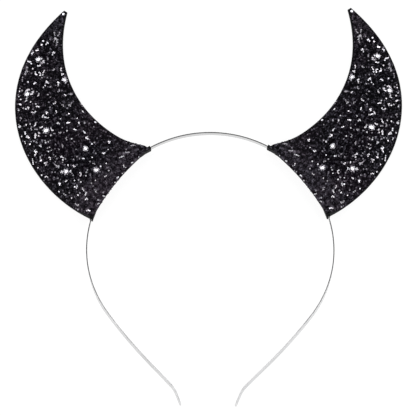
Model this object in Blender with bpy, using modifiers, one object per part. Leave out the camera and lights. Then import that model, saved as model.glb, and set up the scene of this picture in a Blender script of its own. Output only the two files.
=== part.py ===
# Devil horns headband: a bent steel strip with two padded glitter horns on its arch.
# It lies on the flat backs of its horns, as it would on a table.
# Metres. +X is the right side, +Y points from the ends of the loop to the horns' tips, +Z is up.
# The shapes are drawn about the centre of the arch, and the last step moves the whole part
# so that the middle of its underside is at the world's origin.

from collections import namedtuple
from math import ceil, cos, pi, radians, sin

import bmesh
import bpy
from mathutils import Vector

MM = 0.001

# Steel strip, standing on its edge
STRIP_WIDTH = 5.0 * MM
STRIP_THICKNESS = 0.6 * MM
STRIP_EDGE_BEVEL = 0.12 * MM
STRIP_END_ROUND = 2.0 * MM
STEP_ANGLE = radians(3.7)
STEP_LENGTH = 8.0 * MM

# Half of the loop, from the top of the arch to one end. A turn above 0 bends inwards.
Run = namedtuple("Run", "name radius turn length")
ARCH_RADIUS = 61.9 * MM
HALF_LOOP = (
    Run("arch over the head", ARCH_RADIUS, radians(72.5), 0.0),
    Run("side over the ear", 54.7 * MM, radians(54.3), 0.0),
    Run("flatter leg behind the ear", 240.0 * MM, radians(7.5), 0.0),
    Run("straight leg", 0.0, 0.0, 16.5 * MM),
    Run("bend at the end", 13.1 * MM, radians(-22.0), 0.0),
    Run("turned-out end", 0.0, 0.0, 6.5 * MM),
)

# Layers of a horn, from the table up
GAP = 0.25 * MM
FELT_THICKNESS = 1.0 * MM
TAPE_THICKNESS = 0.35 * MM
TAPE_CLEARANCE = 0.2 * MM
FACE_THICKNESS = 1.0 * MM
PAD_BOTTOM = FELT_THICKNESS + GAP
STRIP_BOTTOM = PAD_BOTTOM + TAPE_THICKNESS + TAPE_CLEARANCE
TAPE_HEIGHT = STRIP_WIDTH + 2.0 * (TAPE_THICKNESS + TAPE_CLEARANCE)
TAPE_REACH = STRIP_THICKNESS / 2.0 + TAPE_CLEARANCE + TAPE_THICKNESS
PAD_SEAT_RADIUS = ARCH_RADIUS + TAPE_REACH + GAP

# Outline of the right horn, as two cubic edges from the base to the tip
INNER_EDGE = (
    Vector((30.2, 54.3)) * MM,
    Vector((51.5, 60.0)) * MM,
    Vector((81.1, 84.7)) * MM,
    Vector((70.3, 125.4)) * MM,
)
OUTER_EDGE = (
    Vector((58.9, 19.3)) * MM,
    Vector((93.8, 36.1)) * MM,
    Vector((117.0, 86.1)) * MM,
    Vector((71.9, 126.4)) * MM,
)
BASE_HOLLOW = 2.3 * MM
HORN_REACH = OUTER_EDGE[-1].length
HORNS_OFF_CENTRE = radians(1.42)

# Padding: full height over the strip, thin at the rim, swelling along the middle of the horn
PAD_HEIGHT_AT_BASE = TAPE_HEIGHT
PAD_HEIGHT_AT_RIM = 0.6 * MM
PAD_SWELL = 1.6 * MM
RIM_RUN_OUT = 14.0 * MM
PILLOW_POWER = 2.6
TAPER_POWER = 0.8
SWELL_POWER = 0.7

FACE_INSET = 0.8 * MM
FACE_EDGE_BEVEL = 0.25 * MM
CELLS_ACROSS = 14
CELLS_ALONG = 24

TAPE_TAB_LENGTH = 1.0 * MM
TAPE_CELLS = 14

MERGE = 0.00001

COLOURS = {
    "brushed_steel": ((0.62, 0.62, 0.63, 1.0), 0.28, 1.0),
    "black_glitter": ((0.020, 0.018, 0.022, 1.0), 0.35, 0.4),
    "black_foam": ((0.008, 0.008, 0.009, 1.0), 0.9, 0.0),
    "black_felt": ((0.012, 0.012, 0.013, 1.0), 0.95, 0.0),
    "black_tape": ((0.010, 0.010, 0.011, 1.0), 0.8, 0.0),
}


def clear_scene():
    for thing in list(bpy.data.objects):
        bpy.data.objects.remove(thing, do_unlink=True)


def make_material(name):
    colour, roughness, metallic = COLOURS[name]
    material = bpy.data.materials.new(name)
    material.use_nodes = True
    shader = material.node_tree.nodes["Principled BSDF"]
    shader.inputs["Base Color"].default_value = colour
    shader.inputs["Roughness"].default_value = roughness
    shader.inputs["Metallic"].default_value = metallic
    return material


def add_object(name, data, material, collection, root):
    thing = bpy.data.objects.new(name, data)
    data.materials.append(material)
    collection.objects.link(thing)
    thing.parent = root
    return thing


def mesh_from(name, bm):
    mesh = bpy.data.meshes.new(name)
    bm.to_mesh(mesh)
    bm.free()
    mesh.shade_smooth()
    mesh.set_sharp_from_angle(angle=radians(40.0))
    return mesh


# Steel strip

def walk_half_loop():
    place = Vector((0.0, ARCH_RADIUS))
    heading = 0.0
    points = [place.copy()]
    for run in HALF_LOOP:
        length = run.length or run.radius * abs(run.turn)
        steps = 1
        if run.radius:
            steps = max(ceil(abs(run.turn) / STEP_ANGLE), ceil(length / STEP_LENGTH))
        turn = run.turn / steps
        chord = length / steps
        if run.radius:
            chord = 2.0 * run.radius * sin(abs(turn) / 2.0)
        for _ in range(steps):
            heading -= turn / 2.0
            place += chord * Vector((cos(heading), sin(heading)))
            heading -= turn / 2.0
            points.append(place.copy())
    return points


def strip_mesh():
    bm = bmesh.new()
    low = [bm.verts.new((point.x, point.y, STRIP_BOTTOM)) for point in walk_half_loop()]
    line = [bm.edges.new(pair) for pair in zip(low, low[1:])]
    grown = bmesh.ops.extrude_edge_only(bm, edges=line)["geom"]
    high = [item for item in grown if isinstance(item, bmesh.types.BMVert)]
    bmesh.ops.translate(bm, verts=high, vec=(0.0, 0.0, STRIP_WIDTH))
    end = low[-1].co
    corners = [vert for vert in bm.verts if (vert.co.xy - end.xy).length < MERGE]
    bmesh.ops.bevel(
        bm, geom=corners, offset=STRIP_END_ROUND, offset_type="OFFSET",
        segments=4, profile=0.5, affect="VERTICES",
    )
    return mesh_from("steel_band", bm)


def add_strip(material, collection, root):
    band = add_object("steel_band", strip_mesh(), material, collection, root)
    mirror = band.modifiers.new("Other half", "MIRROR")
    mirror.use_axis[0] = True
    mirror.merge_threshold = MERGE
    wall = band.modifiers.new("Steel thickness", "SOLIDIFY")
    wall.thickness = STRIP_THICKNESS
    wall.offset = 0.0
    wall.use_even_offset = True
    edge = band.modifiers.new("Rolled edges", "BEVEL")
    edge.width = STRIP_EDGE_BEVEL
    edge.segments = 1
    edge.limit_method = "ANGLE"
    edge.angle_limit = radians(50.0)
    return band


# Horn outline

def cubic(edge, t):
    a, b, c, d = edge
    s = 1.0 - t
    return a * s ** 3 + b * 3.0 * s * s * t + c * 3.0 * s * t * t + d * t ** 3


def start_at_radius(edge, radius):
    low, high = 0.0, 0.5
    for _ in range(40):
        middle = (low + high) / 2.0
        if cubic(edge, middle).length < radius:
            low = middle
        else:
            high = middle
    return high


INNER_START = start_at_radius(INNER_EDGE, PAD_SEAT_RADIUS)
OUTER_START = start_at_radius(OUTER_EDGE, PAD_SEAT_RADIUS)


def edge_pair(along):
    inner = cubic(INNER_EDGE, INNER_START + (1.0 - INNER_START) * along)
    outer = cubic(OUTER_EDGE, OUTER_START + (1.0 - OUTER_START) * along)
    return inner, outer


def base_point(across):
    inner, outer = INNER_EDGE[0], OUTER_EDGE[0]
    chord = inner.lerp(outer, across)
    outwards = (inner + outer).normalized()
    return chord + outwards * BASE_HOLLOW * (1.0 - (2.0 * across - 1.0) ** 2)


def seat_point(across):
    inner, outer = edge_pair(0.0)
    return inner.lerp(outer, across).normalized() * PAD_SEAT_RADIUS


def horn_point(across, along):
    inner, outer = edge_pair(along)
    first_inner, first_outer = edge_pair(0.0)
    bow = seat_point(across) - first_inner.lerp(first_outer, across)
    return inner.lerp(outer, across) + bow * (1.0 - along) ** 3


def inset_shares(across, along):
    along *= 1.0 - FACE_INSET / (HORN_REACH - PAD_SEAT_RADIUS)
    inner, outer = edge_pair(along)
    rim = min(FACE_INSET / (outer - inner).length, 0.3)
    return rim + (1.0 - 2.0 * rim) * across, along


def pad_height(across, place):
    past_strip = max(place.length - PAD_SEAT_RADIUS, 0.0)
    along = min(past_strip / (HORN_REACH - PAD_SEAT_RADIUS), 1.0)
    run_out = max(1.0 - past_strip / RIM_RUN_OUT, 0.0) ** 2
    rim = PAD_HEIGHT_AT_RIM + (PAD_HEIGHT_AT_BASE - PAD_HEIGHT_AT_RIM) * run_out
    middle = PAD_HEIGHT_AT_BASE * (1.0 - along) ** TAPER_POWER
    middle += PAD_SWELL * sin(pi * along ** SWELL_POWER)
    pillow = 1.0 - abs(2.0 * across - 1.0) ** PILLOW_POWER
    return rim + max(middle - rim, 0.0) * pillow


# Horn pieces. A side of 1 is the right horn and -1 the left one.

def grid(side, rows, surface):
    bm = bmesh.new()
    bmesh.ops.create_grid(bm, x_segments=CELLS_ACROSS, y_segments=rows, size=1.0)
    for vert in bm.verts:
        across = (vert.co.x + 1.0) / 2.0
        row = round((vert.co.y + 1.0) / 2.0 * rows)
        place, height = surface(across, row)
        vert.co = (side * place.x, place.y, height)
    bmesh.ops.recalc_face_normals(bm, faces=bm.faces)
    if sum(face.normal.z for face in bm.faces) < 0.0:
        bmesh.ops.reverse_faces(bm, faces=bm.faces)
    return bm


def core_mesh(name, side):
    def top(across, row):
        place = horn_point(across, row / CELLS_ALONG)
        return place, PAD_BOTTOM + pad_height(across, place)

    bm = grid(side, CELLS_ALONG, top)
    grown = bmesh.ops.extrude_face_region(bm, geom=bm.faces[:], use_keep_orig=True)["geom"]
    for item in grown:
        if isinstance(item, bmesh.types.BMVert):
            item.co.z = PAD_BOTTOM
    bmesh.ops.recalc_face_normals(bm, faces=bm.faces)
    return mesh_from(name, bm)


def face_mesh(name, side):
    def underside(across, row):
        if row == 0:
            place = base_point(across)
        else:
            across, along = inset_shares(across, (row - 1) / CELLS_ALONG)
            place = horn_point(across, along)
        return place, PAD_BOTTOM + pad_height(across, place) + GAP

    return mesh_from(name, grid(side, CELLS_ALONG + 1, underside))


def add_face(name, side, material, collection, root):
    face = add_object(name, face_mesh(name, side), material, collection, root)
    sheet = face.modifiers.new("Sheet thickness", "SOLIDIFY")
    sheet.thickness = FACE_THICKNESS
    sheet.offset = 1.0
    edge = face.modifiers.new("Soft cut edge", "BEVEL")
    edge.width = FACE_EDGE_BEVEL
    edge.segments = 1
    edge.limit_method = "ANGLE"
    edge.angle_limit = radians(60.0)
    return face


def felt_outline(side):
    base = [base_point(step / CELLS_ACROSS) for step in range(CELLS_ACROSS + 1)]
    steps = [step / CELLS_ALONG for step in range(CELLS_ALONG + 1)]
    outer = [edge_pair(along)[1] for along in steps]
    inner = [edge_pair(along)[0] for along in reversed(steps)]
    return [(side * point.x, point.y) for point in base + outer + inner]


def add_felt(name, side, material, collection, root):
    outline = bpy.data.curves.new(name, "CURVE")
    outline.dimensions = "2D"
    outline.fill_mode = "BOTH"
    outline.extrude = FELT_THICKNESS / 2.0
    points = felt_outline(side)
    spline = outline.splines.new("POLY")
    spline.points.add(len(points) - 1)
    for target, (x, y) in zip(spline.points, points):
        target.co = (x, y, 0.0, 1.0)
    spline.use_cyclic_u = True
    felt = add_object(name, outline, material, collection, root)
    felt.location.z = FELT_THICKNESS / 2.0
    weld = felt.modifiers.new("Close the sheet", "WELD")
    weld.merge_threshold = MERGE
    return felt


def tape_mesh(name, side):
    inner, outer = INNER_EDGE[0], OUTER_EDGE[0]
    first = Vector((0.0, 1.0)).angle(inner) - TAPE_TAB_LENGTH / ARCH_RADIUS
    last = Vector((0.0, 1.0)).angle(outer) + TAPE_TAB_LENGTH / ARCH_RADIUS
    middle_height = PAD_BOTTOM + TAPE_HEIGHT / 2.0
    slot_reach = TAPE_REACH - TAPE_THICKNESS
    slot_height = TAPE_HEIGHT - 2.0 * TAPE_THICKNESS
    bm = bmesh.new()
    loops = []
    for reach, height in ((TAPE_REACH, TAPE_HEIGHT), (slot_reach, slot_height)):
        corners = ((-1, -1), (1, -1), (1, 1), (-1, 1))
        verts = []
        for out, up in corners:
            radius = ARCH_RADIUS + out * reach
            level = middle_height + up * height / 2.0
            verts.append(bm.verts.new((side * radius * sin(first), radius * cos(first), level)))
        loops += [bm.edges.new((verts[step - 1], verts[step])) for step in range(4)]
    bmesh.ops.bridge_loops(bm, edges=loops)
    bmesh.ops.spin(
        bm, geom=bm.faces[:] + bm.edges[:] + bm.verts[:], cent=(0.0, 0.0, 0.0),
        axis=(0.0, 0.0, 1.0), angle=-side * (last - first), steps=TAPE_CELLS,
    )
    bmesh.ops.remove_doubles(bm, verts=bm.verts, dist=MERGE)
    bmesh.ops.recalc_face_normals(bm, faces=bm.faces)
    return mesh_from(name, bm)


def add_horn(label, side, materials, collection, root):
    seat = bpy.data.objects.new(label + "_horn_seat", None)
    collection.objects.link(seat)
    seat.parent = root
    seat.rotation_euler.z = HORNS_OFF_CENTRE
    add_felt(label + "_felt_back", side, materials["black_felt"], collection, seat)
    core = core_mesh(label + "_foam_core", side)
    add_object(label + "_foam_core", core, materials["black_foam"], collection, seat)
    tape = tape_mesh(label + "_tape_sleeve", side)
    add_object(label + "_tape_sleeve", tape, materials["black_tape"], collection, seat)
    add_face(label + "_glitter_face", side, materials["black_glitter"], collection, seat)


# Whole part

def move_to_origin(root, collection):
    bpy.context.view_layer.update()
    graph = bpy.context.evaluated_depsgraph_get()
    corners = []
    for thing in collection.objects:
        if thing.type == "EMPTY":
            continue
        shown = thing.evaluated_get(graph)
        mesh = shown.to_mesh()
        corners += [shown.matrix_world @ vert.co for vert in mesh.vertices]
        shown.to_mesh_clear()
    for axis in (0, 1):
        values = [corner[axis] for corner in corners]
        root.location[axis] = -(min(values) + max(values)) / 2.0
    bpy.context.view_layer.update()


def build():
    clear_scene()
    collection = bpy.data.collections.new("devil_horns_headband")
    bpy.context.scene.collection.children.link(collection)
    root = bpy.data.objects.new("arch_centre", None)
    collection.objects.link(root)
    materials = {name: make_material(name) for name in COLOURS}
    add_strip(materials["brushed_steel"], collection, root)
    add_horn("left", -1, materials, collection, root)
    add_horn("right", 1, materials, collection, root)
    move_to_origin(root, collection)


build()
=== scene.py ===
from math import ceil, cos, pi, radians, sin
from random import Random

import bmesh
import bpy
from mathutils import Matrix, Vector, noise


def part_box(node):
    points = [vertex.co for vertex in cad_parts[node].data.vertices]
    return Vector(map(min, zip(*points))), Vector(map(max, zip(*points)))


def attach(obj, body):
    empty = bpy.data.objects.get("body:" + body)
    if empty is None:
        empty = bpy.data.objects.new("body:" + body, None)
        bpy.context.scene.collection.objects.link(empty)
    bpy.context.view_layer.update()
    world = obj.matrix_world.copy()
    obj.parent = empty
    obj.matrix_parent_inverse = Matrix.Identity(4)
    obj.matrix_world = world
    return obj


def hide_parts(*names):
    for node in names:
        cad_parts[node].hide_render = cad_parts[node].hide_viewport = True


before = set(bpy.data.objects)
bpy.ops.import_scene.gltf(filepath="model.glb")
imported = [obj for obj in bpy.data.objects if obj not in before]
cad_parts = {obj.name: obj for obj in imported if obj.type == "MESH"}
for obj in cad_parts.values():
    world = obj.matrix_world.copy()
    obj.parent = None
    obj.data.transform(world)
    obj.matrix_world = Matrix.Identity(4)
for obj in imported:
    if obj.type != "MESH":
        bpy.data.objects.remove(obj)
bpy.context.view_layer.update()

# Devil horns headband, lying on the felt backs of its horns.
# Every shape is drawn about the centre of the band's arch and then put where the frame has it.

mm = 0.001
weld = 0.01 * mm  # points nearer than this are one point
upright = Vector((0.0, 0.0, 1.0))


# Small helpers

def ease(value, start, end):  # 0 at start and 1 at end, of which either may be the larger
    share = min(max((value - start) / (end - start), 0.0), 1.0)
    return share * share * (3.0 - 2.0 * share)


def between(limits, share):
    return limits[0] + (limits[1] - limits[0]) * share


def roll(place, size, seed=0.0):  # soft noise from about -1 to 1, with lumps of the given size
    return noise.noise(Vector(place) / size + Vector((seed, seed * 0.7, -seed)))


def meshPiece(name, bm, materials, stands=()):
    mesh = bpy.data.meshes.new(name)
    bm.to_mesh(mesh)
    bm.free()
    mesh.shade_smooth()
    mesh.set_sharp_from_angle(angle=radians(38.0))
    for material in materials:
        mesh.materials.append(material)
    piece = bpy.data.objects.new(name, mesh)
    bpy.context.scene.collection.objects.link(piece)
    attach(piece, "root")
    if stands:
        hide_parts(*stands)
    return piece


def addWall(piece, thickness, offset):
    wall = piece.modifiers.new("Wall", "SOLIDIFY")
    wall.thickness = thickness
    wall.offset = offset
    wall.use_even_offset = True
    return wall


def addRoundEdges(piece, width, segments, angle=55.0):
    rounding = piece.modifiers.new("Round edges", "BEVEL")
    rounding.width = width
    rounding.segments = segments
    rounding.limit_method = "ANGLE"
    rounding.angle_limit = radians(angle)
    rounding.harden_normals = True


def node(tree, kind, inputs=None, **settings):
    made = tree.nodes.new(kind)
    for name, value in settings.items():
        setattr(made, name, value)
    for name, value in (inputs or {}).items():
        if isinstance(value, bpy.types.NodeSocket):
            tree.links.new(value, made.inputs[name])
        else:
            made.inputs[name].default_value = value
    return made


def grey(value):
    return (value, value, value, 1.0)


def scaled(colour, share):  # a colour made darker or lighter
    return tuple(share * value for value in colour[:3]) + (1.0,)


def ramp(tree, factor, stops, interpolation="LINEAR"):
    made = node(tree, "ShaderNodeValToRGB", {"Fac": factor})
    made.color_ramp.interpolation = interpolation
    while len(made.color_ramp.elements) < len(stops):
        made.color_ramp.elements.new(0.5)
    for element, (position, colour) in zip(made.color_ramp.elements, stops):
        element.position = position
        element.color = colour
    return made.outputs["Color"]


def noiseValue(tree, vector, scale, detail=2.0, roughness=0.5):
    inputs = {"Vector": vector, "Scale": scale, "Detail": detail, "Roughness": roughness}
    return node(tree, "ShaderNodeTexNoise", inputs).outputs["Fac"]


def stretch(tree, vector, scale, turn=(0.0, 0.0, 0.0)):  # turned first, so that each turn has its own grain
    turned = node(tree, "ShaderNodeMapping", {"Vector": vector, "Rotation": turn}).outputs["Vector"]
    return node(tree, "ShaderNodeMapping", {"Vector": turned, "Scale": scale}).outputs["Vector"]


def mixColour(tree, factor, first, second, blend="MIX"):
    made = node(tree, "ShaderNodeMix", {0: factor}, data_type="RGBA", blend_type=blend)
    for index, value in ((6, first), (7, second)):
        if isinstance(value, bpy.types.NodeSocket):
            tree.links.new(value, made.inputs[index])
        else:
            made.inputs[index].default_value = value
    return made.outputs[2]


def sums(tree, kind, first, second):
    return node(tree, "ShaderNodeMath", {0: first, 1: second}, operation=kind).outputs[0]


def newGroup(name, inputs, outputs):
    tree = bpy.data.node_groups.new(name, "ShaderNodeTree")
    for label, kind, start in inputs:
        socket = tree.interface.new_socket(label, in_out="INPUT", socket_type=kind)
        if start is not None:
            socket.default_value = start
    for label, kind in outputs:
        tree.interface.new_socket(label, in_out="OUTPUT", socket_type=kind)
    return tree, tree.nodes.new("NodeGroupInput"), tree.nodes.new("NodeGroupOutput")


def useGroup(tree, group, inputs):
    return node(tree, "ShaderNodeGroup", inputs, node_tree=group)


def newMaterial(name, settings):
    material = bpy.data.materials.new(name)
    material.use_nodes = True
    shader = material.node_tree.nodes["Principled BSDF"]
    for label, value in settings.items():
        shader.inputs[label].default_value = value
    place = node(material.node_tree, "ShaderNodeTexCoord").outputs["Object"]
    return material, material.node_tree, shader, place


def bumpInto(tree, shader, height, distance, strength=1.0):
    inputs = {"Height": height, "Distance": distance, "Strength": strength}
    made = node(tree, "ShaderNodeBump", inputs)
    tree.links.new(made.outputs["Normal"], shader.inputs["Normal"])


# Effects that several finishes share

def makeToneGroup():  # slow drift of tone, and a few pale specks of lint
    tree, given, out = newGroup(
        "toneAndLint",
        [("Vector", "NodeSocketVector", None), ("Lint Amount", "NodeSocketFloat", 0.5)],
        [("Drift", "NodeSocketFloat"), ("Lint", "NodeSocketFloat")],
    )
    vector = given.outputs["Vector"]
    slow = noiseValue(tree, vector, 45.0, 3.0)
    fine = noiseValue(tree, vector, 400.0, 2.0)
    drift = sums(tree, "ADD", sums(tree, "MULTIPLY", slow, 0.7), sums(tree, "MULTIPLY", fine, 0.3))
    thread = stretch(tree, vector, (1.0, 5.0, 3.0), (0.3, 0.5, 0.9))
    specks = node(tree, "ShaderNodeTexVoronoi", {"Vector": thread, "Scale": 170.0})
    rare = noiseValue(tree, vector, 90.0, 1.0)
    spot = ramp(tree, specks.outputs["Distance"], ((0.03, grey(1.0)), (0.07, grey(0.0))))
    where = ramp(tree, rare, ((0.60, grey(0.0)), (0.66, grey(1.0))))
    lint = sums(tree, "MULTIPLY", sums(tree, "MULTIPLY", spot, where), given.outputs["Lint Amount"])
    tree.links.new(drift, out.inputs["Drift"])
    tree.links.new(lint, out.inputs["Lint"])
    return tree


def makeFibreGroup():  # matted fibres running every way, as in felt and fleece
    tree, given, out = newGroup(
        "mattedFibres",
        [("Vector", "NodeSocketVector", None), ("Fibres", "NodeSocketFloat", 900.0)],
        [("Height", "NodeSocketFloat"), ("Tone", "NodeSocketFloat")],
    )
    vector = given.outputs["Vector"]
    wander = node(tree, "ShaderNodeTexNoise", {"Vector": vector, "Scale": 500.0, "Detail": 1.0})
    spread = {0: wander.outputs["Color"], 1: (0.0012, 0.0012, 0.0012)}
    bent = node(tree, "ShaderNodeVectorMath", spread, operation="MULTIPLY").outputs[0]
    moved = node(tree, "ShaderNodeVectorMath", {0: vector, 1: bent}, operation="ADD").outputs[0]
    height = noiseValue(tree, moved, 1400.0, 1.0)
    for turn, seed in ((0.2, 0.0), (0.9, 3.1), (1.6, 7.7), (2.5, 5.2)):
        lying = stretch(tree, moved, (1.0, 0.12, 0.6), (0.0, 0.0, turn))
        inputs = {"Vector": lying, "W": seed, "Scale": given.outputs["Fibres"], "Detail": 1.0}
        strands = node(tree, "ShaderNodeTexNoise", inputs, noise_dimensions="4D").outputs["Fac"]
        height = sums(tree, "MAXIMUM", height, strands)
    tree.links.new(height, out.inputs["Height"])
    tree.links.new(ramp(tree, height, ((0.5, grey(0.0)), (0.78, grey(1.0)))), out.inputs["Tone"])
    return tree


toneAndLint = makeToneGroup()
mattedFibres = makeFibreGroup()


# Steel band

band = {
    "archRadius": 61.9 * mm,
    "width": 5.0 * mm,
    "thickness": 0.6 * mm,
    "runs": (  # half of the loop from the top of the arch; a turn above 0 bends inwards
        {"radius": 61.9 * mm, "turn": 72.5},
        {"radius": 54.7 * mm, "turn": 54.3},
        {"radius": 240.0 * mm, "turn": 7.5},
        {"length": 16.5 * mm},
        {"radius": 13.1 * mm, "turn": -22.0},
        {"length": 6.5 * mm},
    ),
    "degreesPerStep": 1.0,
    "endRound": 2.1 * mm,
    "edgeRound": 0.06 * mm,
    "lean": 0.4 * mm,  # how much further in the upper edge of a leg lies than the lower one
    "leaning": (-4.0 * mm, -28.0 * mm),  # from here down to there, counted from the arch centre
    "archSteel": (0.64, 0.64, 0.645),  # steel colour at the arch, where it mirrors the room; down the legs it is painted paler, a painted reflection
    "paintedPaleLegSteel": (0.77, 0.77, 0.775),
    "archGrain": 0.68,
    "paleLegGrain": 0.86,
    "paintedPaleDownLegs": (36.0 * mm, -76.0 * mm),  # painted reflection: the steel is painted paler from the top of the arch down the legs, in the frame
    "duller": (-22.0 * mm, -78.0 * mm),
}

bandLow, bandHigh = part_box("steel_band")
archCentre = Vector((
    (bandLow.x + bandHigh.x) / 2.0,
    bandHigh.y - band["archRadius"] - band["thickness"] / 2.0,
    0.0,
))


def makeSteel():
    material, tree, shader, place = newMaterial("brushedSteel", {
        "Metallic": 1.0,
        "Roughness": 0.24,
        "Anisotropic": 0.4,
    })
    grain = noiseValue(tree, stretch(tree, place, (30.0, 30.0, 4200.0)), 1.0, 3.0, 0.6)
    marks = noiseValue(tree, stretch(tree, place, (180.0, 180.0, 2600.0)), 1.0, 2.0, 0.7)
    cloud = noiseValue(tree, place, 60.0, 3.0)
    axes = node(tree, "ShaderNodeSeparateXYZ", {0: place})

    def downBand(limits):
        inputs = {"Value": axes.outputs["Y"], "From Min": limits[0], "From Max": limits[1]}
        return node(tree, "ShaderNodeMapRange", inputs).outputs["Result"]

    def grained(steel, depth):
        return mixColour(tree, grain, scaled(steel, depth), scaled(steel, 1.0))

    # painted reflection: the base colour turns paler down the legs
    archTint = grained(band["archSteel"], band["archGrain"])
    paleLegTint = grained(band["paintedPaleLegSteel"], band["paleLegGrain"])
    tint = mixColour(tree, downBand(band["paintedPaleDownLegs"]), archTint, paleLegTint)
    stain = ramp(tree, cloud, ((0.35, grey(0.9)), (0.65, grey(1.0))))
    tree.links.new(mixColour(tree, 1.0, tint, stain, "MULTIPLY"), shader.inputs["Base Color"])
    glossy = ramp(tree, marks, ((0.35, grey(0.06)), (0.7, grey(0.15))))
    dull = ramp(tree, marks, ((0.35, grey(0.46)), (0.7, grey(0.62))))
    rough = mixColour(tree, downBand(band["duller"]), glossy, dull)
    tree.links.new(rough, shader.inputs["Roughness"])
    bumpInto(tree, shader, grain, 0.02 * mm, 0.5)
    return material


def buildBand():
    bm = bmesh.new()
    low = bandLow.z
    tip = [bm.verts.new((0.0, band["archRadius"], low + up)) for up in (0.0, band["width"])]
    tip.append(bm.edges.new(tip))
    place, heading = Vector((0.0, band["archRadius"], 0.0)), 0.0
    for run in band["runs"]:
        if "turn" in run:
            turn = radians(run["turn"])
            inwards = Vector((sin(heading), -cos(heading), 0.0)) * (1.0 if turn > 0.0 else -1.0)
            centre = place + inwards * run["radius"]
            steps = ceil(abs(run["turn"]) / band["degreesPerStep"])
            tip = bmesh.ops.spin(
                bm, geom=tip, cent=centre, axis=upright, angle=-turn, steps=steps,
            )["geom_last"]
            place = centre + Matrix.Rotation(-turn, 3, "Z") @ (place - centre)
            heading -= turn
        else:
            step = Vector((cos(heading), sin(heading), 0.0)) * run["length"]
            edges = [item for item in tip if isinstance(item, bmesh.types.BMEdge)]
            tip = bmesh.ops.extrude_edge_only(bm, edges=edges)["geom"]
            moved = [item for item in tip if isinstance(item, bmesh.types.BMVert)]
            tip = [item for item in tip if not isinstance(item, bmesh.types.BMFace)]
            bmesh.ops.translate(bm, verts=moved, vec=step)
            place += step
    corners = [item for item in tip if isinstance(item, bmesh.types.BMVert)]
    bmesh.ops.bevel(
        bm, geom=corners, offset=band["endRound"], offset_type="OFFSET", segments=8,
        profile=0.5, affect="VERTICES", material=-1,
    )
    bmesh.ops.mirror(bm, geom=bm.verts[:] + bm.edges[:] + bm.faces[:], axis="X", merge_dist=weld)
    bmesh.ops.remove_doubles(bm, verts=bm.verts, dist=weld)
    bmesh.ops.recalc_face_normals(bm, faces=bm.faces)
    bm.normal_update()
    for vert in bm.verts:  # the legs lean in
        inwards = -vert.normal if vert.normal.dot(vert.co) > 0.0 else vert.normal
        up = (vert.co.z - low) / band["width"] - 0.5
        vert.co += inwards * up * band["lean"] * ease(vert.co.y, *band["leaning"])
    bmesh.ops.translate(bm, verts=bm.verts, vec=archCentre)
    piece = meshPiece("band_strip", bm, [makeSteel()], ["steel_band"])
    addWall(piece, band["thickness"], 0.0)
    addRoundEdges(piece, band["edgeRound"], 3)


# Shape that a horn's layers share, drawn for the right horn

horn = {
    "innerEdge": ((30.2, 54.3), (51.5, 60.0), (81.1, 84.7), (70.3, 125.4)),  # cubic, base to tip
    "outerEdge": ((58.9, 19.3), (93.8, 36.1), (117.0, 86.1), (71.9, 126.4)),
    "baseHollow": 2.3 * mm,
    "offCentre": 1.42,  # degrees that both horns are turned about the arch
    "widest": 45.0 * mm,
    "feltThickness": 1.0 * mm,
    "gap": 0.25 * mm,
    "tapeThickness": 0.35 * mm,
    "tapeClearance": 0.2 * mm,
    "faceThickness": 1.0 * mm,
    "faceInset": 0.8 * mm,
    "insetAtBand": 0.1 * mm,  # the face reaches further out near the band, where the rim is high
    "mostInset": 0.3,  # share of the width, for the narrow tip
    "nearBand": 0.2,  # share along the horn
    "heightAtRim": 0.6 * mm,
    "swell": 1.6 * mm,
    "rimRunOut": 14.0 * mm,
    "pillowPower": 2.6,
    "taperPower": 0.8,
    "swellPower": 0.7,
}

innerEdge = [Vector(point) * mm for point in horn["innerEdge"]]
outerEdge = [Vector(point) * mm for point in horn["outerEdge"]]
padBottom = horn["feltThickness"] + horn["gap"]
tapeHeight = band["width"] + 2.0 * (horn["tapeThickness"] + horn["tapeClearance"])
tapeReach = band["thickness"] / 2.0 + horn["tapeClearance"] + horn["tapeThickness"]
seatRadius = band["archRadius"] + tapeReach + horn["gap"]
hornReach = outerEdge[-1].length
hornSeat = Matrix.Translation(archCentre) @ Matrix.Rotation(radians(horn["offCentre"]), 4, "Z")


def cubic(edge, t):
    s = 1.0 - t
    return edge[0] * s ** 3 + edge[1] * 3.0 * s * s * t + edge[2] * 3.0 * s * t * t + edge[3] * t ** 3


def startAtRadius(edge, radius):
    low, high = 0.0, 0.5
    for _ in range(40):
        middle = (low + high) / 2.0
        if cubic(edge, middle).length < radius:
            low = middle
        else:
            high = middle
    return high


innerStart = startAtRadius(innerEdge, seatRadius)
outerStart = startAtRadius(outerEdge, seatRadius)


def edgePair(along):
    inner = cubic(innerEdge, innerStart + (1.0 - innerStart) * along)
    outer = cubic(outerEdge, outerStart + (1.0 - outerStart) * along)
    return inner, outer


firstInner, firstOuter = edgePair(0.0)


def basePoint(across):  # on the hollow edge that lies over the band
    inner, outer = innerEdge[0], outerEdge[0]
    outwards = (inner + outer).normalized()
    return inner.lerp(outer, across) + outwards * horn["baseHollow"] * (1.0 - (2.0 * across - 1.0) ** 2)


def hornPoint(across, along):  # across from the inner edge to the outer, along from the band to the tip
    inner, outer = edgePair(along)
    chord = firstInner.lerp(firstOuter, across)
    bow = chord.normalized() * seatRadius - chord
    return inner.lerp(outer, across) + bow * (1.0 - along) ** 3


def insetShares(across, along):
    along *= 1.0 - horn["faceInset"] / (hornReach - seatRadius)
    inner, outer = edgePair(along)
    inset = between((horn["faceInset"], horn["insetAtBand"]), ease(along, horn["nearBand"], 0.0))
    rim = min(inset / (outer - inner).length, horn["mostInset"])
    return rim + (1.0 - 2.0 * rim) * across, along


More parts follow.
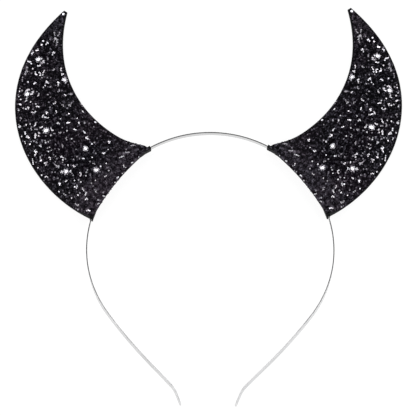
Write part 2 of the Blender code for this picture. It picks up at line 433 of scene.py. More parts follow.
def padHeight(across, place):
    pastStrip = max(place.length - seatRadius, 0.0)
    along = min(pastStrip / (hornReach - seatRadius), 1.0)
    runOut = max(1.0 - pastStrip / horn["rimRunOut"], 0.0) ** 2
    rim = horn["heightAtRim"] + (tapeHeight - horn["heightAtRim"]) * runOut
    middle = tapeHeight * (1.0 - along) ** horn["taperPower"]
    middle += horn["swell"] * sin(pi * along ** horn["swellPower"])
    pillow = 1.0 - abs(2.0 * across - 1.0) ** horn["pillowPower"]
    return rim + max(middle - rim, 0.0) * pillow


def hornGrid(cellsAcross, rows, surface):  # an open sheet of quads whose points surface() places
    bm = bmesh.new()
    bmesh.ops.create_grid(bm, x_segments=cellsAcross, y_segments=rows, size=1.0)
    for vert in bm.verts:
        vert.co = surface((vert.co.x + 1.0) / 2.0, round((vert.co.y + 1.0) / 2.0 * rows))
    faceUp(bm)
    return bm


def faceUp(bm):
    bmesh.ops.recalc_face_normals(bm, faces=bm.faces)
    if sum(face.normal.z for face in bm.faces) < 0.0:
        bmesh.ops.reverse_faces(bm, faces=bm.faces)


def seatOn(bm, side):  # side 1 is the right horn and -1 the left, its mirror image
    if side < 0:
        bmesh.ops.scale(bm, verts=bm.verts, vec=(-1.0, 1.0, 1.0))
        bmesh.ops.reverse_faces(bm, faces=bm.faces)
    bmesh.ops.transform(bm, matrix=hornSeat, verts=bm.verts)


def flatSize(bm):  # width and length in plan of an open sheet, and its area
    spans = [[vert.co[axis] for vert in bm.verts] for axis in (0, 1)]
    width, length = (max(span) - min(span) for span in spans)
    return (width, length), sum(face.calc_area() for face in bm.faces)


def reportCut(name, size, area):
    width, length = (round(value / mm, 1) for value in size)
    print(name, "cut", width, "x", length, "mm, area", round(area * 1e6), "mm2")


# Glitter sheet over the front of a horn

sheet = {
    "cellsAcross": 40,
    "baseRows": 3,
    "rowsAlong": 96,
    "lip": (0.5 * mm, 0.75 * mm),  # lap over the band's inner side, at a corner and in the middle
    "lipDroop": 0.5 * mm,
    "lump": 0.16 * mm,
    "lumpSize": 9.0 * mm,
    "edgeRound": 0.3 * mm,
    "flakeColour": (0.0012, 0.0010, 0.0018, 1.0),
    "warmColour": (0.0028, 0.0019, 0.0036, 1.0),
    "coolSmoke": (0.84, 0.79, 1.0, 1.0),
    "warmSmoke": (0.92, 0.78, 0.97, 1.0),
    "backing": (0.006, 0.006, 0.0065, 1.0),
}
sheetRows = sheet["baseRows"] + sheet["rowsAlong"]
lipAlong = -sheet["baseRows"] / sheet["rowsAlong"]  # share along the horn at the edge of the lip


def sheetPoint(across, row):  # underside of the sheet; rows before baseRows lie over the band
    share, along = insetShares(across, max(row - sheet["baseRows"], 0.0) / sheet["rowsAlong"])
    place = hornPoint(share, along)
    height = padBottom + horn["gap"]
    if row < sheet["baseRows"]:
        over = row / sheet["baseRows"]
        belly = 1.0 - (2.0 * across - 1.0) ** 2
        edge = basePoint(across)
        edge -= edge.normalized() * between(sheet["lip"], belly)
        place = edge.lerp(place, over)
        share = across + (share - across) * over
        height -= sheet["lipDroop"] * belly * (1.0 - over) ** 2
    height += padHeight(share, place)
    lump = 0.5 + 0.5 * roll((place.x, place.y, 0.0), sheet["lumpSize"], seed=4.0)
    return Vector((place.x, place.y, height + sheet["lump"] * lump))


def makeGlitterGround():  # fine black glitter in glue, seen between the large flakes
    material, tree, shader, place = newMaterial("glitterGround", {
        "Roughness": 0.4,
        "Specular IOR Level": 0.03,
    })
    grains = {"Vector": place, "Scale": 2300.0}
    cells = node(tree, "ShaderNodeTexVoronoi", grains)
    edges = node(tree, "ShaderNodeTexVoronoi", grains, feature="DISTANCE_TO_EDGE")
    each = node(tree, "ShaderNodeSeparateColor", {"Color": cells.outputs["Color"]})
    tone = useGroup(tree, toneAndLint, {"Vector": place, "Lint Amount": 0.0})
    warm = ramp(tree, tone.outputs["Drift"], ((0.42, grey(0.0)), (0.6, grey(1.0))))
    base = mixColour(tree, warm, sheet["flakeColour"], sheet["warmColour"])
    # painted sparkle: about one grain in thirty is painted many times lighter than the rest
    stops = ((0.0, grey(0.5)), (0.9, grey(1.3)), (0.97, grey(9.0)))
    paintedSparkleColour = ramp(tree, each.outputs["Red"], stops, "CONSTANT")
    tree.links.new(mixColour(tree, 1.0, base, paintedSparkleColour, "MULTIPLY"), shader.inputs["Base Color"])
    rough = ramp(tree, each.outputs["Green"], ((0.0, grey(0.22)), (1.0, grey(0.5))))
    tree.links.new(rough, shader.inputs["Roughness"])
    facet = sums(tree, "MULTIPLY", each.outputs["Blue"], 0.6)
    groove = ramp(tree, edges.outputs["Distance"], ((0.0, grey(0.0)), (0.12, grey(0.4))))
    bumpInto(tree, shader, sums(tree, "ADD", facet, groove), 0.08 * mm)
    return material


def makeBacking():  # black fleece backing, which shows at the cut edge
    material, tree, shader, place = newMaterial("fleeceBacking", {
        "Roughness": 0.95,
        "Specular IOR Level": 0.04,
        "Sheen Weight": 0.008,
        "Sheen Roughness": 0.5,
    })
    fibres = useGroup(tree, mattedFibres, {"Vector": place, "Fibres": 1500.0})
    tone = useGroup(tree, toneAndLint, {"Vector": place, "Lint Amount": 0.2})
    base = mixColour(tree, fibres.outputs["Tone"], sheet["backing"], scaled(sheet["backing"], 3.0))
    tree.links.new(mixColour(tree, tone.outputs["Lint"], base, grey(0.16)), shader.inputs["Base Color"])
    bumpInto(tree, shader, fibres.outputs["Height"], 0.15 * mm)
    return material


def buildSheet(label, side, materials):
    bm = hornGrid(sheet["cellsAcross"], sheetRows, sheetPoint)
    size, area = flatSize(bm)
    seatOn(bm, side)
    piece = meshPiece(label + "_glitter_sheet", bm, materials, [label + "_glitter_face"])
    wall = addWall(piece, horn["faceThickness"], 1.0)
    wall.material_offset = 1
    wall.material_offset_rim = 1
    addRoundEdges(piece, sheet["edgeRound"], 3)
    return piece, size, area


# Large flakes on the glitter sheet

# Painted sparkle: each flake's shade paints light into its base colour, from black through grey, painted dim
# reflections, to white, painted glints; the flakes' gloss and tilt add real reflections on top.
flakes = {
    "seed": 11,
    "tries": 34000,
    "probes": 12,  # places across the sheet where its stretch is measured
    "spacing": 0.42 * mm,
    "margin": (0.45 * mm, 0.3 * mm),  # kept free at the sheet's edge, in general and near the band
    "radius": (0.36 * mm, 0.52 * mm),
    "oval": (0.72, 1.0),
    "thickness": 0.07 * mm,
    "mostTilt": 24.0,
    "tiltLift": 0.6,  # share of its tilted height that a flake is raised by
    "layer": 0.14 * mm,
    "litOver": 0.28,  # a flake brighter than this lies flatter and one layer higher
    "litPower": 1.6,
    "paintedGlintShare": 0.012,  # single flakes painted white, painted glints
    "paintedGlintShade": (0.75, 1.0),
    # single flakes painted grey, painted sparkle
    "greyShare": 0.03,
    "greyShade": (0.30, 0.55),
    "greyUse": (0.15, 1.0),  # how much of it counts in the calmest and the liveliest parts
    "curls": 136,  # short winding rows of flakes painted white or grey, painted sparkle
    "curlTries": 1632,  # places tried for them
    "curlFlakes": (1, 4),
    "curlRadius": (0.31 * mm, 0.46 * mm),
    "curlShade": (0.75, 1.0),
    "curlTilt": 14.4,
    "curlLayer": 0.252 * mm,
    "curlStep": (0.48 * mm, 0.72 * mm),
    "curlTurn": 120.0,
    "curlSpacing": 2.6 * mm,
    "whiteCurls": 0.55,  # share of them, the others are grey
    "greyCurl": 0.6,
    "glintTilt": 17.0,  # turns a glint to the bright part of the room
    "glintLayer": 0.35 * mm,
    "glintRoom": 0.55,  # share of its radius that other flakes keep off
    "haloOver": 0.85 * mm,  # a glint larger than this has a ring of flakes painted grey, a painted glow
    "haloFlakes": 9,
    "haloUneven": 0.5,
    "haloRadius": 0.42 * mm,
    "haloReach": (1.0, 1.3),
    "paintedGlowShade": (0.45, 0.72),
    "haloTilt": 8.5,
    "haloLayer": 0.196 * mm,
    "duskSize": 1.5 * mm,  # patches of dark grey painted on the black flakes, painted dim reflection
    "duskPower": 1.6,  # the higher, the more of them are quite black
    "dusk": 0.32,
    "calmDusk": 0.32,  # the painted dim reflection is softer and more even near the band and the tip
    "calmPatches": 0.8,
    "calmLevel": (0.45, 1.0),
    "calmBase": (0.16, 0.04),
    "calmTip": (0.86, 0.95),
}

paintedGlints = (  # flakes that catch the light whole, tilted towards the bright part of the room and also painted white as painted glints: share across and along the horn, radius in mm, shade
    (0.643, 0.792, 1.15, 1.0),
    (0.085, 0.669, 1.15, 1.0),
    (0.780, 0.641, 1.15, 1.0),
    (0.627, 0.438, 1.3, 1.0),
    (0.383, 0.240, 0.95, 1.0),
    (0.730, 0.209, 1.15, 1.0),
    (0.517, 0.096, 1.05, 1.0),
    (0.733, 0.875, 0.55, 1.0),
    (0.713, 0.858, 0.6, 1.0),
    (0.907, 0.824, 0.55, 0.9),
    (0.500, 0.995, 0.7, 1.0),
    (0.257, 0.884, 0.7, 0.6),
    (0.040, 0.366, 0.6, 1.0),
    (0.960, 0.514, 0.8, 0.7),
)

curlStarts = (  # the curls of painted sparkle that stand out most: across, along, number of flakes, heading, shade
    (0.623, 0.763, 3, 190.0, 1.0),
    (0.760, 0.835, 3, 60.0, 1.0),
    (0.450, 0.735, 4, -60.0, 1.0),
    (0.413, 0.680, 4, -80.0, 1.0),
    (0.073, 0.703, 3, 20.0, 1.0),
    (0.810, 0.650, 5, 100.0, 1.0),
    (0.930, 0.610, 3, 200.0, 1.0),
    (0.340, 0.560, 3, -40.0, 1.0),
    (0.610, 0.565, 3, 30.0, 1.0),
    (0.527, 0.494, 4, 15.0, 1.0),
    (0.717, 0.497, 4, -30.0, 1.0),
    (0.880, 0.450, 5, 80.0, 1.0),
    (0.800, 0.433, 5, 120.0, 1.0),
    (0.883, 0.383, 4, -110.0, 1.0),
    (0.647, 0.285, 4, -20.0, 1.0),
    (0.780, 0.225, 4, 170.0, 1.0),
    (0.233, 0.040, 4, 40.0, 0.85),
    (0.150, -0.028, 1, 0.0, 0.75),
    (0.240, -0.026, 3, 20.0, 0.9),
    (0.335, -0.020, 3, 60.0, 0.85),
    (0.410, -0.027, 1, 0.0, 0.8),
    (0.470, -0.024, 2, 10.0, 1.0),
    (0.540, -0.027, 1, 0.0, 1.0),
    (0.735, -0.026, 2, 80.0, 0.85),
    (0.835, -0.022, 2, 30.0, 0.9),
    (0.760, 0.090, 3, -40.0, 1.0),
    (0.890, 0.190, 3, 120.0, 1.0),
    (0.930, 0.255, 3, 60.0, 1.0),
    (0.860, 0.300, 4, 150.0, 1.0),
    (0.100, 0.665, 4, 40.0, 1.0),
    (0.090, 0.735, 3, -60.0, 1.0),
    (0.540, 0.715, 4, 110.0, 1.0),
    (0.480, 0.775, 4, 70.0, 1.0),
    (0.560, 0.860, 3, 120.0, 1.0),
    (0.170, 0.880, 4, 10.0, 0.66),
    (0.300, 0.870, 4, 100.0, 0.6),
    (0.330, 0.900, 3, 50.0, 0.6),
    (0.190, 0.900, 3, 130.0, 0.6),
    (0.200, 0.864, 3, -120.0, 0.55),
    (0.840, 0.745, 4, 30.0, 0.62),
    (0.890, 0.765, 3, 200.0, 0.6),
    (0.870, 0.733, 3, 90.0, 0.55),
)

sparkle = {  # how the painted sparkle fades: shares along and across the horn where it starts and ends
    "rise": 0.28,
    "fullFrom": (0.30, 0.18),  # on the inner and on the outer side
    "sides": (0.45, 0.75),
    "tip": (0.91, 0.80),
    "innerCalm": (
        {"depth": 1.0, "along": (0.60, 0.78), "across": (0.60, 0.30)},
        {"depth": 0.75, "along": (0.44, 0.27), "across": (0.66, 0.42)},
        {"depth": 0.85, "along": (-1.0, 0.0), "across": (0.26, 0.12)},  # all along the inner edge
    ),
    "least": 0.12,
    "leastAtBand": (0.0, 0.06),
    "leastAtTip": (0.95, 0.85),
}


def liveliness(across, along):  # painted sparkle: few flakes are painted bright near the band, the tip and parts of the inner edge
    full = between(sparkle["fullFrom"], ease(across, *sparkle["sides"]))
    lively = ease(along, full - sparkle["rise"], full) * ease(along, *sparkle["tip"])
    for calm in sparkle["innerCalm"]:
        lively *= 1.0 - calm["depth"] * ease(along, *calm["along"]) * ease(across, *calm["across"])
    everywhere = ease(along, *sparkle["leastAtBand"]) * ease(along, *sparkle["leastAtTip"])
    return sparkle["least"] * everywhere + (1.0 - sparkle["least"]) * lively


def brightness(across, along, place, draw):  # 0 is a black flake and 1 one painted white; the greys and whites are painted sparkle
    lively = liveliness(across, along)
    pick, level = draw.random(), draw.random()
    if pick < flakes["paintedGlintShare"] * lively:
        return between(flakes["paintedGlintShade"], level)
    if pick < (flakes["paintedGlintShare"] + flakes["greyShare"]) * between(flakes["greyUse"], lively):
        return between(flakes["greyShade"], level)
    # painted dim reflection: black flakes painted grey in patches
    patch = roll((place.x, place.y, 0.0), flakes["duskSize"], seed=9.0)
    sharp = max(0.5 + patch, 0.0) * flakes["dusk"] * level ** flakes["duskPower"]
    soft = max(0.5 + flakes["calmPatches"] * patch, 0.0) * flakes["calmDusk"]
    soft *= between(flakes["calmLevel"], level)
    return between((sharp, soft), max(ease(along, *flakes["calmBase"]), ease(along, *flakes["calmTip"])))


def topOfSheet(across, row):
    step = 0.01
    here = sheetPoint(across, row)
    sideways = sheetPoint(min(across + step, 1.0), row) - sheetPoint(max(across - step, 0.0), row)
    forwards = sheetPoint(across, row + step) - here
    normal = sideways.cross(forwards)
    if normal.z < 0.0:
        normal.negate()
    share = normal.length / step / step
    return here + normal.normalized() * horn["faceThickness"], normal.normalized(), share


def rowAt(along):
    return sheet["baseRows"] + along * sheet["rowsAlong"]


def toRim(across, along):
    inner, outer = edgePair(along)
    return min(across, 1.0 - across) * (outer - inner).length


def hasRoom(across, along):
    return toRim(across, along) >= between(flakes["margin"], ease(along, horn["nearBand"], 0.0))


def placeFlakes():
    draw = Random(flakes["seed"])
    crowded, placed = {}, []

    def addFlake(top, normal, radius, shade, tilt, layer, lean=None):
        spin = draw.uniform(0.0, 2.0 * pi)
        lean = draw.uniform(0.0, 2.0 * pi) if lean is None else lean
        tipped = Matrix.Rotation(tilt, 3, Vector((cos(lean), sin(lean), 0.0))) @ normal
        turn = tipped.to_track_quat("Z", "Y").to_matrix() @ Matrix.Rotation(spin, 3, "Z")
        lift = radius * sin(tilt) * flakes["tiltLift"] + flakes["thickness"] / 2.0 + layer
        size = (radius, radius * draw.uniform(*flakes["oval"]), flakes["thickness"])
        placed.append((top + normal * lift, turn.to_euler(), size, shade, draw.random()))

    def cellOf(top):
        return int(top.x // flakes["spacing"]), int(top.y // flakes["spacing"])

    def isFree(top):
        column, line = cellOf(top)
        for i in range(column - 1, column + 2):
            for j in range(line - 1, line + 2):
                for other, room in crowded.get((i, j), ()):
                    if (other - top.xy).length < room:
                        return False
        return True

    def claim(top, room=0.0):
        crowded.setdefault(cellOf(top), []).append((top.xy, max(room, flakes["spacing"])))

    def addCurl(across, along, count, heading, shade):
        for _ in range(count):
            onSheet = 0.0 <= across <= 1.0 and lipAlong <= along <= 1.0
            if not onSheet or not hasRoom(across, along):
                return
            top, normal, _ = topOfSheet(across, rowAt(along))
            radius = draw.uniform(*flakes["curlRadius"])
            tilt = radians(flakes["curlTilt"]) * draw.random()
            lit = shade * draw.uniform(*flakes["curlShade"])
            addFlake(top, normal, radius, lit, tilt, flakes["curlLayer"])
            claim(top)
            inner, outer = edgePair(along)
            step = draw.uniform(*flakes["curlStep"])
            across += step * cos(heading) / (outer - inner).length
            along += step * sin(heading) / (hornReach - seatRadius)
            heading += radians(draw.uniform(-flakes["curlTurn"], flakes["curlTurn"]))

    # painted glints, which also lean to reflect the bright part of the room
    for across, along, radius, shade in paintedGlints:
        radius *= mm
        top, normal, _ = topOfSheet(across, rowAt(along))
        addFlake(top, normal, radius, shade, radians(flakes["glintTilt"]), flakes["glintLayer"], lean=pi)
        claim(top, radius * flakes["glintRoom"])
        # painted glow: a ring of grey flakes round each large glint
        for step in range(flakes["haloFlakes"] if radius > flakes["haloOver"] else 0):
            turn = 2.0 * pi * (step + flakes["haloUneven"] * draw.random()) / flakes["haloFlakes"]
            reach = radius * draw.uniform(*flakes["haloReach"])
            beside = top + Vector((cos(turn), sin(turn), 0.0)) * reach
            lit, tilt = draw.uniform(*flakes["paintedGlowShade"]), radians(flakes["haloTilt"])
            addFlake(beside, normal, flakes["haloRadius"], lit, tilt, flakes["haloLayer"])
    # painted sparkle: curls of flakes painted white or grey
    for across, along, count, heading, shade in curlStarts:
        addCurl(across, along, count, radians(heading), shade)
    starts = [hornPoint(across, along) for across, along, *_ in curlStarts]
    for _ in range(flakes["curlTries"]):
        across, along = draw.random(), draw.random()
        inner, outer = edgePair(along)
        place = hornPoint(across, along)
        if draw.random() * horn["widest"] > liveliness(across, along) * (outer - inner).length:
            continue
        clear = min((place - other).length for other in starts) > flakes["curlSpacing"]
        if clear and len(starts) < flakes["curls"]:
            starts.append(place)
            shade = 1.0 if draw.random() < flakes["whiteCurls"] else flakes["greyCurl"]
            count, heading = draw.randint(*flakes["curlFlakes"]), draw.uniform(0.0, 2.0 * pi)
            addCurl(across, along, count, heading, shade)

    probes = flakes["probes"]
    largest = max(
        topOfSheet(step / probes, row)[2] for step in range(probes + 1) for row in range(0, sheetRows, 6)
    )
    for _ in range(flakes["tries"]):
        across, row = draw.random(), draw.uniform(0.0, sheetRows - 0.1)
        top, normal, share = topOfSheet(across, row)
        along = max(row - sheet["baseRows"], 0.0) / sheet["rowsAlong"]
        inside = hasRoom(across, along)
        if draw.random() * largest > share or not inside or not isFree(top):
            continue
        claim(top)
        shade = brightness(across, along, top, draw)
        lit = shade > flakes["litOver"]
        radius = draw.uniform(*flakes["radius"])
        tilt = radians(flakes["mostTilt"]) * draw.random() ** (flakes["litPower"] if lit else 1.0)
        layer = flakes["layer"] * (draw.random() + (1.0 if lit else 0.0))
        addFlake(top, normal, radius, shade, tilt, layer)
    return placed


def flakeTree():  # a six-sided flake on every seed point, turned and sized by the point's own values
    tree = bpy.data.node_groups.new("flakesOnSeeds", "GeometryNodeTree")
    tree.interface.new_socket("Geometry", in_out="INPUT", socket_type="NodeSocketGeometry")
    tree.interface.new_socket("Geometry", in_out="OUTPUT", socket_type="NodeSocketGeometry")
    seeds = tree.nodes.new("NodeGroupInput").outputs["Geometry"]
    result = tree.nodes.new("NodeGroupOutput")
    shape = {"Vertices": 6, "Side Segments": 1, "Fill Segments": 1, "Radius": 1.0, "Depth": 1.0}
    flake = node(tree, "GeometryNodeMeshCylinder", shape, fill_type="NGON").outputs["Mesh"]
    turn = node(tree, "GeometryNodeInputNamedAttribute", {"Name": "flakeTurn"}, data_type="FLOAT_VECTOR")
    size = node(tree, "GeometryNodeInputNamedAttribute", {"Name": "flakeSize"}, data_type="FLOAT_VECTOR")
    rotation = node(tree, "FunctionNodeEulerToRotation", {"Euler": turn.outputs["Attribute"]})
    inputs = {
        "Points": seeds,
        "Instance": flake,
        "Rotation": rotation.outputs["Rotation"],
        "Scale": size.outputs["Attribute"],
    }
    spread = node(tree, "GeometryNodeInstanceOnPoints", inputs)
    whole = node(tree, "GeometryNodeRealizeInstances", {"Geometry": spread.outputs["Instances"]})
    tree.links.new(whole.outputs["Geometry"], result.inputs["Geometry"])
    return tree


def growFlakes(placed):
    bm = bmesh.new()
    turns = bm.verts.layers.float_vector.new("flakeTurn")
    sizes = bm.verts.layers.float_vector.new("flakeSize")
    # painted sparkle: the shade each flake carries paints light into its colour
    shades = bm.verts.layers.float.new("paintedFlakeSparkle")
    tints = bm.verts.layers.float.new("flakeTint")
    for place, turn, size, shade, tint in placed:
        seed = bm.verts.new(place)
        seed[turns], seed[sizes] = Vector(turn), Vector(size)
        seed[shades], seed[tints] = shade, tint
    mesh = bpy.data.meshes.new("flakeSeeds")
    bm.to_mesh(mesh)
    bm.free()
    seeds = bpy.data.objects.new("flakeSeeds", mesh)
    bpy.context.scene.collection.objects.link(seeds)
    seeds.modifiers.new("Flakes", "NODES").node_group = flakeTree()
    grown = seeds.evaluated_get(bpy.context.evaluated_depsgraph_get())
    whole = bpy.data.meshes.new_from_object(grown)
    bpy.data.objects.remove(seeds)
    return whole


def makeFlakeFinish():
    material, tree, shader, place = newMaterial("glitterFlake", {
        "Roughness": 0.25,
        "Specular IOR Level": 0.02,
    })
    # painted sparkle: the shade turns the base colour from black through grey to white
    shade = node(tree, "ShaderNodeAttribute", attribute_name="paintedFlakeSparkle").outputs["Fac"]
    tint = node(tree, "ShaderNodeAttribute", attribute_name="flakeTint").outputs["Fac"]
    tone = useGroup(tree, toneAndLint, {"Vector": place, "Lint Amount": 0.0})
    warm = ramp(tree, tone.outputs["Drift"], ((0.42, grey(0.0)), (0.6, grey(1.0))))
    black = mixColour(tree, warm, sheet["flakeColour"], sheet["warmColour"])
    tints = ((0.0, (0.98, 0.915, 0.98, 1.0)), (0.5, (0.95, 0.925, 0.985, 1.0)), (1.0, (0.92, 0.92, 1.0, 1.0)))
    silver = ramp(tree, tint, tints)
    smoke = mixColour(tree, warm, sheet["coolSmoke"], sheet["warmSmoke"])
    curve = sums(tree, "POWER", shade, 1.7)
    paintedSparkleColour = mixColour(tree, ramp(tree, shade, ((0.2, grey(0.0)), (0.6, grey(1.0)))), smoke, silver)
    tree.links.new(mixColour(tree, curve, black, paintedSparkleColour), shader.inputs["Base Color"])
    tree.links.new(sums(tree, "MULTIPLY", curve, 0.4), shader.inputs["Metallic"])
    rough = ramp(tree, tint, ((0.0, grey(0.2)), (1.0, grey(0.36))))
    tree.links.new(rough, shader.inputs["Roughness"])
    scuffs = noiseValue(tree, place, 3800.0, 2.0)
    bumpInto(tree, shader, scuffs, 0.012 * mm, 0.5)
    return material


def buildFlakes(label, side, grown, material):
    bm = bmesh.new()
    bm.from_mesh(grown)
    seatOn(bm, side)
    return meshPiece(label + "_glitter_flakes", bm, [material])


# Foam padding

foam = {
    "cellsAcross": 30,
    "rowsAlong": 72,
    "wallCuts": 2,
    "ripple": 0.10 * mm,
    "rippleSize": 1.3 * mm,
    "cutBelow": 0.9,
    "colour": (0.0045, 0.0045, 0.005, 1.0),
}


def makeFoam():
    material, tree, shader, place = newMaterial("closedFoam", {
        "Roughness": 0.9,
        "Specular IOR Level": 0.08,
    })
    pores = node(tree, "ShaderNodeTexVoronoi", {"Vector": place, "Scale": 2600.0})
    skin = ramp(tree, pores.outputs["Distance"], ((0.15, grey(0.0)), (0.6, grey(1.0))))
    tone = useGroup(tree, toneAndLint, {"Vector": place, "Lint Amount": 0.15})
    base = mixColour(tree, skin, foam["colour"], scaled(foam["colour"], 3.2))
    tree.links.new(mixColour(tree, tone.outputs["Lint"], base, grey(0.12)), shader.inputs["Base Color"])
    bumpInto(tree, shader, skin, 0.12 * mm)
    return material


def buildFoam(label, side, material):
    def top(across, row):
        place = hornPoint(across, row / foam["rowsAlong"])
        return Vector((place.x, place.y, padBottom + padHeight(across, place)))

    bm = hornGrid(foam["cellsAcross"], foam["rowsAlong"], top)
    walls = [edge for edge in bm.edges if edge.is_boundary]
    grown = bmesh.ops.extrude_face_region(bm, geom=bm.faces[:], use_keep_orig=True)["geom"]
    low = [item for item in grown if isinstance(item, bmesh.types.BMVert)]
    for vert in low:
        vert.co.z = padBottom
    rim = {vert for edge in walls for vert in edge.verts}
    uprights = [edge for vert in rim for edge in vert.link_edges if edge.other_vert(vert) in low]
    bmesh.ops.subdivide_edges(bm, edges=list(set(uprights)), cuts=foam["wallCuts"], use_grid_fill=True)
    bmesh.ops.recalc_face_normals(bm, faces=bm.faces)
    bm.normal_update()
    for vert in bm.verts:  # a knife-cut edge is never quite even
        if abs(vert.normal.z) < foam["cutBelow"]:
            cut = roll(vert.co, foam["rippleSize"], seed=2.0)
            vert.co -= vert.normal * foam["ripple"] * (0.5 + 0.5 * cut)
    seatOn(bm, side)
    piece = meshPiece(label + "_padding", bm, [material], [label + "_foam_core"])


# Felt back

felt = {
    "cellsAcross": 34,
    "baseRows": 3,
    "rowsAlong": 84,
    "wander": 0.09 * mm,
    "wanderSize": 1.6 * mm,
    "edgeRound": 0.22 * mm,
    "colour": (0.0032, 0.0032, 0.0035, 1.0),
}


def feltPoint(across, row):
    place = hornPoint(across, max(row - felt["baseRows"], 0.0) / felt["rowsAlong"])
    if row < felt["baseRows"]:
        place = basePoint(across).lerp(place, row / felt["baseRows"])
    return Vector((place.x, place.y, 0.0))


def makeFelt():
    material, tree, shader, place = newMaterial("blackFelt", {
        "Roughness": 1.0,
        "Specular IOR Level": 0.03,
        "Sheen Weight": 0.008,
        "Sheen Roughness": 0.6,
    })
    fibres = useGroup(tree, mattedFibres, {"Vector": place, "Fibres": 1100.0})
    tone = useGroup(tree, toneAndLint, {"Vector": place, "Lint Amount": 0.8})
    base = mixColour(tree, fibres.outputs["Tone"], felt["colour"], scaled(felt["colour"], 4.0))
    drift = ramp(tree, tone.outputs["Drift"], ((0.3, grey(0.7)), (0.7, grey(1.25))))
    base = mixColour(tree, 1.0, base, drift, "MULTIPLY")
    tree.links.new(mixColour(tree, tone.outputs["Lint"], base, grey(0.2)), shader.inputs["Base Color"])
    bumpInto(tree, shader, fibres.outputs["Height"], 0.22 * mm)
    return material


def buildFelt(label, side, material):
    bm = hornGrid(felt["cellsAcross"], felt["baseRows"] + felt["rowsAlong"], feltPoint)
    size, area = flatSize(bm)
    middle = sum((vert.co for vert in bm.verts), Vector()) / len(bm.verts)
    for vert in bm.verts:  # scissors leave the outline a little uneven
        if vert.is_boundary:
            inwards = (middle - vert.co).normalized()
            vert.co += inwards * felt["wander"] * (0.5 + 0.5 * roll(vert.co, felt["wanderSize"], seed=6.0))
    seatOn(bm, side)
    piece = meshPiece(label + "_felt", bm, [material], [label + "_felt_back"])
    addWall(piece, horn["feltThickness"], 1.0)
    addRoundEdges(piece, felt["edgeRound"], 3)
    reportCut(label + " felt", size, area)


# Tape sleeve that holds the horn to the band

tape = {
    "tab": 1.0 * mm,
    "steps": 110,
    "heightCuts": 7,
    "turnWidth": 6.5 * mm,
    "turnSlant": 0.8,
    "lap": 0.18 * mm,
    "edgeRound": 0.16 * mm,
    "colour": (0.0045, 0.0045, 0.005, 1.0),
}


def makeTape():
    material, tree, shader, place = newMaterial("wovenTape", {
        "Roughness": 0.8,
        "Specular IOR Level": 0.12,
        "Sheen Weight": 0.01,
        "Sheen Roughness": 0.4,
    })
    threads = {"Vector": place, "Scale": 900.0, "Distortion": 0.6, "Detail": 1.0}
    weft = node(tree, "ShaderNodeTexWave", threads, bands_direction="Z").outputs["Fac"]
    warp = node(tree, "ShaderNodeTexWave", threads, bands_direction="X").outputs["Fac"]
    cross = node(tree, "ShaderNodeTexWave", threads, bands_direction="Y").outputs["Fac"]
    weave = sums(tree, "MULTIPLY", weft, sums(tree, "MAXIMUM", warp, cross))
    tone = useGroup(tree, toneAndLint, {"Vector": place, "Lint Amount": 0.4})
    base = mixColour(tree, weave, tape["colour"], scaled(tape["colour"], 3.5))
    tree.links.new(mixColour(tree, tone.outputs["Lint"], base, grey(0.15)), shader.inputs["Base Color"])
    bumpInto(tree, shader, weave, 0.08 * mm)
    return material


def buildTape(label, side, material):
    radius = band["archRadius"]
    north = Vector((0.0, 1.0))
    first = north.angle(innerEdge[0]) - tape["tab"] / radius
    last = north.angle(outerEdge[0]) + tape["tab"] / radius
    middle = padBottom + tapeHeight / 2.0
    bm = bmesh.new()
    loops = []
    for inset in (0.0, horn["tapeThickness"]):
        reach, half = tapeReach - inset, tapeHeight / 2.0 - inset
        near, far = radius - reach, radius + reach
        corners = ((near, -half), (far, -half), (far, half), (near, half))
        verts = [bm.verts.new((0.0, out, middle + up)) for out, up in corners]
        loops += [bm.edges.new((verts[step - 1], verts[step])) for step in range(4)]
    bmesh.ops.bridge_loops(bm, edges=loops)
    bmesh.ops.rotate(bm, verts=bm.verts, cent=(0.0, 0.0, 0.0), matrix=Matrix.Rotation(-first, 3, "Z"))
    tall = [edge for edge in bm.edges if abs(edge.verts[0].co.z - edge.verts[1].co.z) > half]
    bmesh.ops.subdivide_edges(bm, edges=tall, cuts=tape["heightCuts"], use_grid_fill=True)
    bmesh.ops.spin(
        bm, geom=bm.faces[:] + bm.edges[:] + bm.verts[:], cent=(0.0, 0.0, 0.0), axis=upright,
        angle=-(last - first), steps=tape["steps"],
    )
    bmesh.ops.remove_doubles(bm, verts=bm.verts, dist=weld / 2.0)
    bmesh.ops.recalc_face_normals(bm, faces=bm.faces)
    for vert in bm.verts:  # each turn of the tape laps over the last one
        out = vert.co.xy.length - radius
        onFace = abs(abs(out) - tapeReach) < weld
        onEdge = abs(abs(vert.co.z - middle) - tapeHeight / 2.0) < weld
        if onFace or onEdge:
            run = north.angle(vert.co.xy) * radius + (vert.co.z - middle) * tape["turnSlant"]
            lap = (run / tape["turnWidth"]) % 1.0
            inwards = -vert.co.xy.normalized() * (1.0 if out > 0.0 else -1.0)
            vert.co.xy += inwards * tape["lap"] * lap
    around = 2.0 * (tapeHeight + 2.0 * tapeReach)
    seatOn(bm, side)
    piece = meshPiece(label + "_tape_wrap", bm, [material], [label + "_tape_sleeve"])
    addRoundEdges(piece, tape["edgeRound"], 2, 60.0)
    size = ((last - first) * radius, around)
    reportCut(label + " tape", size, size[0] * size[1])


# Light, floor and camera

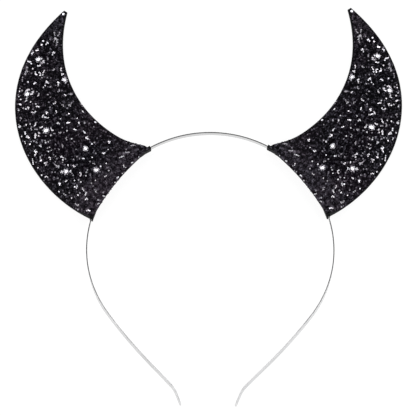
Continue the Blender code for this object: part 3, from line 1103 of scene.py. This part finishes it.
studio = {
    "floorHalf": 6.0,
    "floorDrop": 0.02 * mm,
    "floorColour": (0.15, 0.15, 0.15, 1.0),  # a light table: most of the glow comes from below
    "floorGlow": 0.88,
    "sky": (  # height of the direction, brightness: a darker zenith inside a bright ring
        (0.50, 0.95), (0.60, 1.0), (0.70, 1.5), (0.86, 1.5), (0.94, 0.30), (1.0, 0.16),
    ),
    "boxes": (
        {"name": "soft_box_left", "azimuth": -80.0, "elevation": 42.0, "size": 0.45, "power": 1.6},
        {"name": "soft_box_right", "azimuth": 75.0, "elevation": 42.0, "size": 0.45, "power": 1.6},
        {"name": "soft_box_back", "azimuth": 170.0, "elevation": 50.0, "size": 0.40, "power": 1.4},
    ),
    "boxDistance": 1.1,
}


def buildStudio():
    scene = bpy.context.scene
    scene.view_settings.view_transform = "Standard"
    world = bpy.data.worlds.new("softDome")
    scene.world = world
    world.use_nodes = True
    tree = world.node_tree
    axes = node(tree, "ShaderNodeSeparateXYZ", {0: node(tree, "ShaderNodeTexCoord").outputs["Generated"]})
    height = node(tree, "ShaderNodeMapRange", {"Value": axes.outputs["Z"], "From Min": -1.0, "From Max": 1.0})
    strongest = max(level for _, level in studio["sky"])
    stops = [(position, grey(level / strongest)) for position, level in studio["sky"]]
    level = ramp(tree, height.outputs["Result"], stops, "EASE")
    background = tree.nodes["Background"]
    tree.links.new(level, background.inputs["Color"])
    background.inputs["Strength"].default_value = strongest

    bm = bmesh.new()
    bmesh.ops.create_grid(bm, x_segments=1, y_segments=1, size=studio["floorHalf"])
    bmesh.ops.translate(bm, verts=bm.verts, vec=(0.0, 0.0, -studio["floorDrop"]))
    mesh = bpy.data.meshes.new("floor")
    bm.to_mesh(mesh)
    bm.free()
    floor = bpy.data.objects.new("floor", mesh)
    scene.collection.objects.link(floor)
    material, _, _, _ = newMaterial("lightTable", {
        "Base Color": studio["floorColour"],
        "Roughness": 0.9,
        "Specular IOR Level": 0.1,
        "Emission Color": grey(1.0),
        "Emission Strength": studio["floorGlow"],
    })
    mesh.materials.append(material)

    for box in studio["boxes"]:
        lamp = bpy.data.lights.new(box["name"], "AREA")
        lamp.shape = "SQUARE"
        lamp.size = box["size"]
        lamp.energy = box["power"]
        light = bpy.data.objects.new(box["name"], lamp)
        scene.collection.objects.link(light)
        around, up = radians(box["azimuth"]), radians(box["elevation"])
        away = Vector((sin(around) * cos(up), -cos(around) * cos(up), sin(up)))
        light.location = away * studio["boxDistance"]
        light.rotation_mode = "QUATERNION"
        light.rotation_quaternion = away.to_track_quat("Z", "Y")


view = {
    "elevation": 78.0,
    "distance": 4.0,
    "sensor": 36.0,
    "frameWidth": 207.4 * mm,  # what the picture spans at the headband
    "centre": Vector((-1.09, 24.24)) * mm,  # picture's middle from the arch centre, in the picture's plane
    "turned": -0.82,
}


def buildCamera():
    up = radians(view["elevation"])
    side, over = Vector((1.0, 0.0, 0.0)), Vector((0.0, sin(up), cos(up)))
    turn = radians(view["turned"])
    right = side * cos(turn) - over * sin(turn)
    top = side * sin(turn) + over * cos(turn)
    back = right.cross(top)
    middle = archCentre + right * view["centre"].x + top * view["centre"].y
    camera = bpy.data.cameras.new("camera")
    camera.sensor_width = view["sensor"]
    camera.lens = view["sensor"] * view["distance"] / view["frameWidth"]
    holder = bpy.data.objects.new("camera", camera)
    bpy.context.scene.collection.objects.link(holder)
    axes = Matrix((right, top, back)).transposed().to_4x4()
    holder.matrix_world = Matrix.Translation(middle + back * view["distance"]) @ axes
    bpy.context.scene.camera = holder


def buildHorns():
    glitter = [makeGlitterGround(), makeBacking()]
    flakeFinish, foamFinish = makeFlakeFinish(), makeFoam()
    feltFinish, tapeFinish = makeFelt(), makeTape()
    placed = placeFlakes()
    grown = growFlakes(placed)
    print("flakes on each horn:", len(placed))
    for label, side in (("left", -1), ("right", 1)):
        buildFoam(label, side, foamFinish)
        buildFelt(label, side, feltFinish)
        buildTape(label, side, tapeFinish)
        face, size, area = buildSheet(label, side, glitter)
        spangles = buildFlakes(label, side, grown, flakeFinish)
        reportCut(label + " glitter", size, area)


buildStudio()
buildCamera()
print("studio and camera ready")
buildBand()
print("steel band ready")
buildHorns()
print("horns ready")
